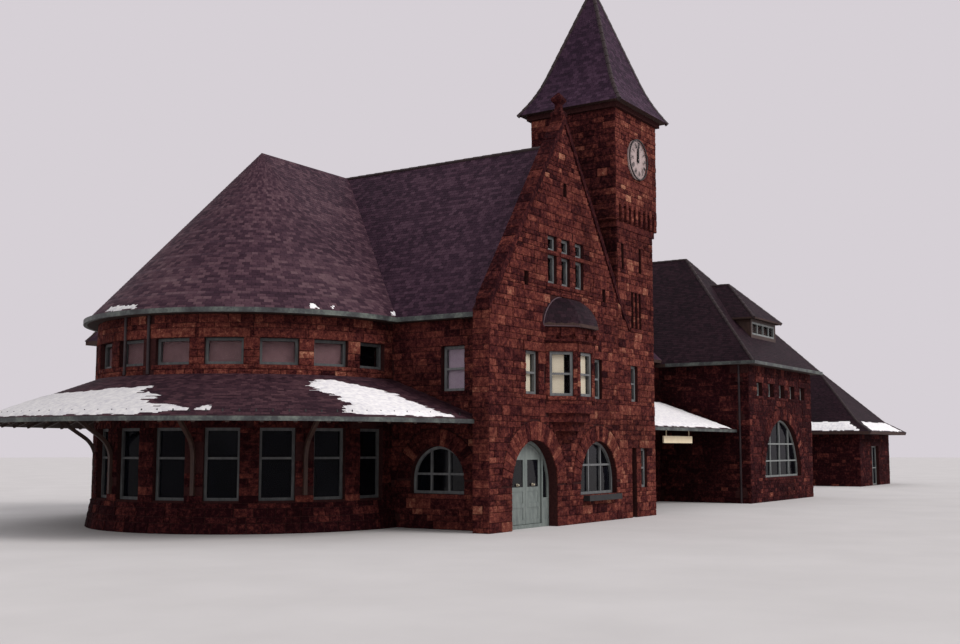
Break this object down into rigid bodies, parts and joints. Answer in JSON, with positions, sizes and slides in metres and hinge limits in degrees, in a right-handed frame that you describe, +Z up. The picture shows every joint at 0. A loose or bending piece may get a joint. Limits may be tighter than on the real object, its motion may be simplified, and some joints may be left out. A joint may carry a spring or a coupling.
{
  "type": "railway station building, 1:2 scale model",
  "caption": "Sandstone railway station: gabled hall, clock tower, round canopied wing, waiting room, hipped pavilion and baggage house.",
  "frame": {"origin": "on the ground under the middle of the gable's front wall, halfway through its thickness", "axes": "+X to the right along the platform front, +Y away from the platform, +Z up"},
  "size_m": [33.7898, 10.355, 10.465],
  "materials": {
    "sandstone": "rough",
    "slate": "matte",
    "glass": "smooth",
    "green_paint": "satin paint",
    "copper": "weathered",
    "dial": "matte",
    "black_metal": "matte",
    "timber": "painted",
    "floor": "worn"
  },
  "bodies": {
    "station": {"back_walls": "sandstone", "baggage_roof": "slate", "baggage_walls": "sandstone", "canopy_brackets": "timber", "canopy_gutters": "copper", "clock_dial": "dial", "clock_stage": "sandstone", "dormer_roof": "slate", "downpipes": "copper", "east_glass": "glass", "east_window_frames": "green_paint", "eave_gutters": "copper", "entrance_arch": "sandstone", "entrance_frame": "green_paint", "front_wall_left": "sandstone", "front_wall_right": "sandstone", "gable_coping": "sandstone", "gable_finial": "sandstone", "gable_wall": "sandstone", "ground_floors": "floor", "hall_glass": "glass", "hall_left_walls": "sandstone", "hall_right_walls": "sandstone", "hall_window_frames": "green_paint", "main_roof": "slate", "name_board": "timber", "oriel_corbel": "sandstone", "oriel_roof": "slate", "oriel_walls": "sandstone", "passage_roof": "slate", "passage_walls": "sandstone", "pavilion_dormer": "timber", "pavilion_front_wall": "sandstone", "pavilion_roof": "slate", "pavilion_side_walls": "sandstone", "platform_canopy": "slate", "rotunda_canopy": "slate", "rotunda_glass": "glass", "rotunda_roof": "slate", "rotunda_wall_1": "sandstone", "rotunda_wall_2": "sandstone", "rotunda_wall_3": "sandstone", "rotunda_wall_4": "sandstone", "rotunda_wall_5": "sandstone", "rotunda_window_frames": "green_paint", "spire": "slate", "tower_back_wall": "sandstone", "tower_corbel_table": "sandstone", "tower_front_wall": "sandstone", "tower_side_walls": "sandstone", "upper_floors": "floor", "waiting_room_roof": "slate", "waiting_room_walls": "sandstone"},
    "leaf_left": {"entrance_leaf_left": "green_paint", "leaf_glass_left": "glass"},
    "leaf_right": {"entrance_leaf_right": "green_paint", "leaf_glass_right": "glass"},
    "minute": {"minute_hand": "black_metal"},
    "hour": {"hour_hand": "black_metal"}
  },
  "joints": [
    {"name": "entrance_left_hinge", "type": "hinge", "parent": "station", "child": "leaf_left", "pos_m": [-1.5172, 0.07, 0], "axis": [0, 0, 1], "range_deg": [0, 90]},
    {"name": "entrance_right_hinge", "type": "hinge", "parent": "station", "child": "leaf_right", "pos_m": [-0.5578, 0.07, 0], "axis": [0, 0, -1], "range_deg": [0, 90]},
    {"name": "minute_turn", "type": "hinge", "parent": "station", "child": "minute", "pos_m": [2.78, -0.2, 6.84], "axis": [0, 1, 0], "continuous": true},
    {"name": "hour_turn", "type": "hinge", "parent": "station", "child": "hour", "pos_m": [2.78, -0.2, 6.84], "axis": [0, 1, 0], "continuous": true}
  ],
  "couplings": [
    {"joint": "hour_turn", "follows": "minute_turn", "ratio": 0.083333}
  ]
}
